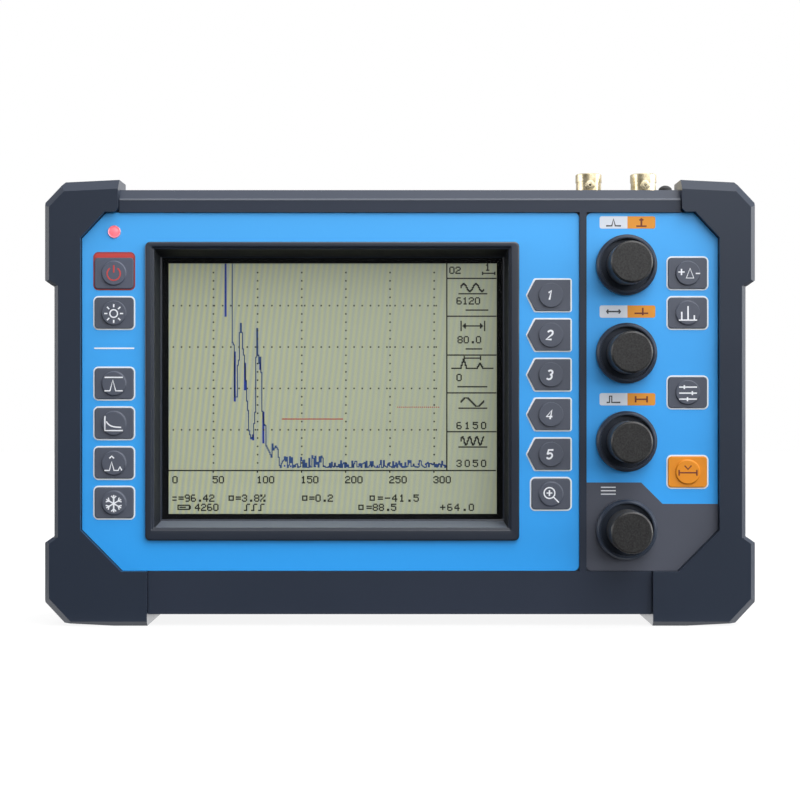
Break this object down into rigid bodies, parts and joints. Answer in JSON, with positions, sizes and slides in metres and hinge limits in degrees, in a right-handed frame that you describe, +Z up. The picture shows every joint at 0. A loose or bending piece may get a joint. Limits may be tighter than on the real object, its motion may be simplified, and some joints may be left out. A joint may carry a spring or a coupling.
{
  "type": "ultrasonic flaw detector",
  "caption": "Portable ultrasonic flaw detector with corner guards, a recessed display, pressing keys, turning knobs, probe jacks on top and a rear tilt stand.",
  "frame": {"origin": "on the ground under the middle of the instrument's box, knobs and jacks counted", "axes": "+X to the right across the front, +Y towards the back, +Z up; the front panel faces -Y"},
  "size_m": [0.248, 0.0644, 0.1613],
  "materials": {
    "case_plastic": "fine moulded grain, dark blue-grey",
    "guard_plastic": "satin moulded, dark blue-grey",
    "panel_sheet": "satin printed polyester sheet, sky blue",
    "bezel_plastic": "satin moulded, dark blue-grey",
    "window_glass": "clear flat window",
    "seal_rubber": "matt black foam rubber",
    "display_glass": "grey-green liquid crystal display",
    "zinc_steel": "zinc plated",
    "led_lens": "lit red lens",
    "black_plastic": "matt black",
    "knob_plastic": "matt black soft-touch",
    "white_plastic": "ivory",
    "circuit_board": "green solder mask",
    "key_plastic": "satin blue-grey",
    "orange_key_plastic": "satin orange",
    "battery_sleeve": "blue shrink sleeve",
    "nickel_brass": "nickel plated, slightly yellow",
    "gold_brass": "gold plated",
    "plug_rubber": "matt black rubber"
  },
  "bodies": {
    "case": {"front_shell": "case_plastic", "rear_shell": "case_plastic", "case_seal": "seal_rubber", "case_screws": "zinc_steel", "front_left_guard": "guard_plastic", "front_right_guard": "guard_plastic", "rear_left_guard": "guard_plastic", "rear_right_guard": "guard_plastic", "guard_screws": "zinc_steel", "left_panel_sheet": "panel_sheet", "right_panel_sheet": "panel_sheet", "screen_bezel": "bezel_plastic", "screen_window": "window_glass", "window_gasket": "seal_rubber", "lcd_panel": "display_glass", "lcd_frame": "zinc_steel", "power_led": "led_lens", "key_switches": "black_plastic", "panel_board": "circuit_board", "knob_collars": "black_plastic", "encoder_bodies": "zinc_steel", "encoder_nuts": "zinc_steel", "main_board": "circuit_board", "board_screws": "zinc_steel", "battery_pack": "battery_sleeve", "battery_door": "case_plastic", "door_screws": "zinc_steel", "jack_shells": "nickel_brass", "jack_insulators": "white_plastic", "jack_contacts": "gold_brass", "jack_nuts": "nickel_brass", "charge_socket": "zinc_steel", "stand_pin": "zinc_steel"},
    "power_key": {"power_key": "key_plastic"},
    "backlight_key": {"backlight_key": "key_plastic"},
    "auto_height_key": {"auto_height_key": "key_plastic"},
    "gain_curve_key": {"gain_curve_key": "key_plastic"},
    "peak_hold_key": {"peak_hold_key": "key_plastic"},
    "freeze_key": {"freeze_key": "key_plastic"},
    "f1_key": {"f1_key": "key_plastic"},
    "f2_key": {"f2_key": "key_plastic"},
    "f3_key": {"f3_key": "key_plastic"},
    "f4_key": {"f4_key": "key_plastic"},
    "f5_key": {"f5_key": "key_plastic"},
    "echo_zoom_key": {"echo_zoom_key": "key_plastic"},
    "gain_step_key": {"gain_step_key": "key_plastic"},
    "relative_gain_key": {"relative_gain_key": "key_plastic"},
    "mode_key": {"mode_key": "key_plastic"},
    "gate_key": {"gate_key": "orange_key_plastic"},
    "gain_knob": {"gain_knob": "knob_plastic", "gain_shaft": "zinc_steel"},
    "range_knob": {"range_knob": "knob_plastic", "range_shaft": "zinc_steel"},
    "delay_knob": {"delay_knob": "knob_plastic", "delay_shaft": "zinc_steel"},
    "menu_plunger": {"menu_plunger": "white_plastic"},
    "menu_knob": {"menu_knob": "knob_plastic", "menu_shaft": "zinc_steel"},
    "socket_plug": {"socket_plug": "plug_rubber"},
    "tilt_stand": {"tilt_stand": "guard_plastic"}
  },
  "joints": [
    {"name": "power_key_press", "type": "slide", "parent": "case", "child": "power_key", "axis": [0, 1, 0], "range_m": [0, 0.0005], "stiffness_N_per_m": 500},
    {"name": "backlight_key_press", "type": "slide", "parent": "case", "child": "backlight_key", "axis": [0, 1, 0], "range_m": [0, 0.0005], "stiffness_N_per_m": 500},
    {"name": "auto_height_key_press", "type": "slide", "parent": "case", "child": "auto_height_key", "axis": [0, 1, 0], "range_m": [0, 0.0005], "stiffness_N_per_m": 500},
    {"name": "gain_curve_key_press", "type": "slide", "parent": "case", "child": "gain_curve_key", "axis": [0, 1, 0], "range_m": [0, 0.0005], "stiffness_N_per_m": 500},
    {"name": "peak_hold_key_press", "type": "slide", "parent": "case", "child": "peak_hold_key", "axis": [0, 1, 0], "range_m": [0, 0.0005], "stiffness_N_per_m": 500},
    {"name": "freeze_key_press", "type": "slide", "parent": "case", "child": "freeze_key", "axis": [0, 1, 0], "range_m": [0, 0.0005], "stiffness_N_per_m": 500},
    {"name": "f1_key_press", "type": "slide", "parent": "case", "child": "f1_key", "axis": [0, 1, 0], "range_m": [0, 0.0005], "stiffness_N_per_m": 500},
    {"name": "f2_key_press", "type": "slide", "parent": "case", "child": "f2_key", "axis": [0, 1, 0], "range_m": [0, 0.0005], "stiffness_N_per_m": 500},
    {"name": "f3_key_press", "type": "slide", "parent": "case", "child": "f3_key", "axis": [0, 1, 0], "range_m": [0, 0.0005], "stiffness_N_per_m": 500},
    {"name": "f4_key_press", "type": "slide", "parent": "case", "child": "f4_key", "axis": [0, 1, 0], "range_m": [0, 0.0005], "stiffness_N_per_m": 500},
    {"name": "f5_key_press", "type": "slide", "parent": "case", "child": "f5_key", "axis": [0, 1, 0], "range_m": [0, 0.0005], "stiffness_N_per_m": 500},
    {"name": "echo_zoom_key_press", "type": "slide", "parent": "case", "child": "echo_zoom_key", "axis": [0, 1, 0], "range_m": [0, 0.0005], "stiffness_N_per_m": 500},
    {"name": "gain_step_key_press", "type": "slide", "parent": "case", "child": "gain_step_key", "axis": [0, 1, 0], "range_m": [0, 0.0005], "stiffness_N_per_m": 500},
    {"name": "relative_gain_key_press", "type": "slide", "parent": "case", "child": "relative_gain_key", "axis": [0, 1, 0], "range_m": [0, 0.0005], "stiffness_N_per_m": 500},
    {"name": "mode_key_press", "type": "slide", "parent": "case", "child": "mode_key", "axis": [0, 1, 0], "range_m": [0, 0.0005], "stiffness_N_per_m": 500},
    {"name": "gate_key_press", "type": "slide", "parent": "case", "child": "gate_key", "axis": [0, 1, 0], "range_m": [0, 0.0005], "stiffness_N_per_m": 500},
    {"name": "gain_turn", "type": "hinge", "parent": "case", "child": "gain_knob", "pos_m": [0.0791, -0.01575, 0.126], "axis": [0, 1, 0], "continuous": true},
    {"name": "range_turn", "type": "hinge", "parent": "case", "child": "range_knob", "pos_m": [0.0791, -0.01575, 0.0952], "axis": [0, 1, 0], "continuous": true},
    {"name": "delay_turn", "type": "hinge", "parent": "case", "child": "delay_knob", "pos_m": [0.0791, -0.01575, 0.0644], "axis": [0, 1, 0], "continuous": true},
    {"name": "menu_press", "type": "slide", "parent": "case", "child": "menu_plunger", "axis": [0, 1, 0], "range_m": [0, 0.0005], "stiffness_N_per_m": 800},
    {"name": "menu_turn", "type": "hinge", "parent": "menu_plunger", "child": "menu_knob", "pos_m": [0.0791, -0.01575, 0.0336], "axis": [0, 1, 0], "continuous": true},
    {"name": "plug_pull", "type": "slide", "parent": "case", "child": "socket_plug", "axis": [0, 0, 1], "range_m": [0, 0.012]},
    {"name": "stand_swing", "type": "hinge", "parent": "case", "child": "tilt_stand", "pos_m": [0, 0.02965, 0.092], "axis": [1, 0, 0], "range_deg": [0, 60]}
  ]
}
